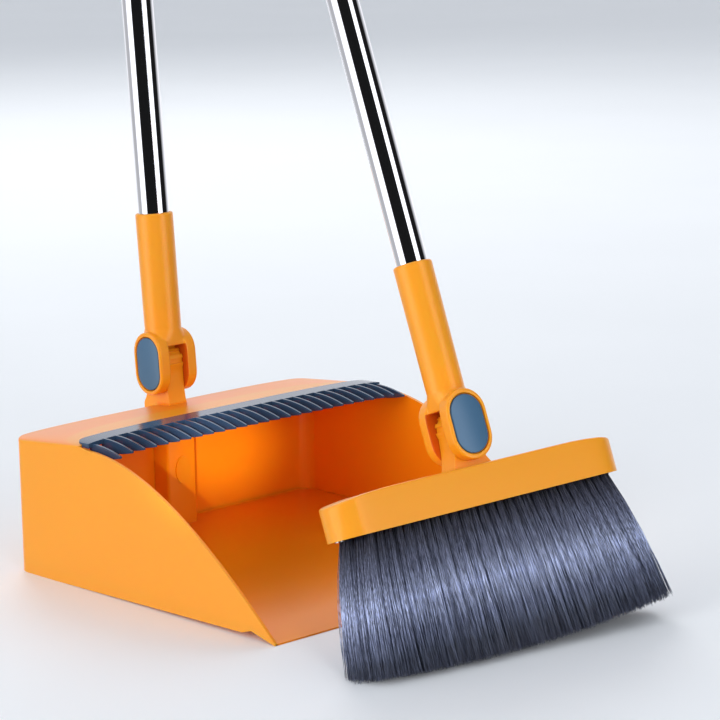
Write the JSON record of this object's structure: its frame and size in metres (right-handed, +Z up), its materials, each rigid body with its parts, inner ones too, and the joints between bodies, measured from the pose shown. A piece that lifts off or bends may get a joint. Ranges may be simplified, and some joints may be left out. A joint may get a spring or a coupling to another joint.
{
  "type": "dustpan and broom set",
  "caption": "Long-handled dustpan with a comb and crowned cover, and an upright broom; each steel pole folds at a clevis hinge.",
  "frame": {"origin": "on the floor, under the middle of the set's bounding box", "axes": "+X to the dustpan's right, +Y towards the dustpan's rear wall, +Z up; the pan's mouth faces -Y"},
  "size_m": [0.3052, 0.4918, 0.8296],
  "materials": {
    "orange_plastic": "satin moulded polypropylene",
    "slate_plastic": "satin blue-grey moulded plastic",
    "chrome_tube": "polished stainless steel tube",
    "zinc_steel": "zinc plated steel",
    "grey_plastic": "grey moulded nylon",
    "bristle_fibre": "fine grey-violet synthetic bristles"
  },
  "bodies": {
    "pan": {"pan_shell": "orange_plastic", "comb_strip": "slate_plastic"},
    "pan_pole": {"pan_hinge_fork": "orange_plastic", "pan_hinge_cap_left": "slate_plastic", "pan_hinge_cap_right": "slate_plastic", "pan_hinge_bolt": "zinc_steel", "pan_hinge_nut": "zinc_steel", "pan_pole_plug": "grey_plastic", "pan_pole_lower_tube": "chrome_tube", "pan_pole_joiner": "orange_plastic", "pan_pole_upper_tube": "chrome_tube", "pan_pole_grip": "orange_plastic"},
    "broom_head": {"broom_block": "orange_plastic", "tuft_plate": "slate_plastic", "bristle_pack": "bristle_fibre", "plate_screw_left": "zinc_steel", "plate_screw_right": "zinc_steel"},
    "broom_pole": {"broom_hinge_fork": "orange_plastic", "broom_hinge_cap_left": "slate_plastic", "broom_hinge_cap_right": "slate_plastic", "broom_hinge_bolt": "zinc_steel", "broom_hinge_nut": "zinc_steel", "broom_pole_plug": "grey_plastic", "broom_pole_lower_tube": "chrome_tube", "broom_pole_joiner": "orange_plastic", "broom_pole_upper_tube": "chrome_tube", "broom_pole_grip": "orange_plastic"}
  },
  "joints": [
    {"name": "pan_pole_fold", "type": "hinge", "parent": "pan", "child": "pan_pole", "pos_m": [0.00756, 0.18768, 0.134], "axis": [1, 0, 0], "range_deg": [-85.9, 5]},
    {"name": "broom_lift", "type": "slide", "parent": "pan", "child": "broom_head", "axis": [0, 0, 1], "range_m": [0, 0.3]},
    {"name": "broom_pole_fold", "type": "hinge", "parent": "broom_head", "child": "broom_pole", "pos_m": [-0.02769, -0.15531, 0.13931], "axis": [0.1533, 0.9259, -0.3453], "range_deg": [-90, 90]}
  ]
}
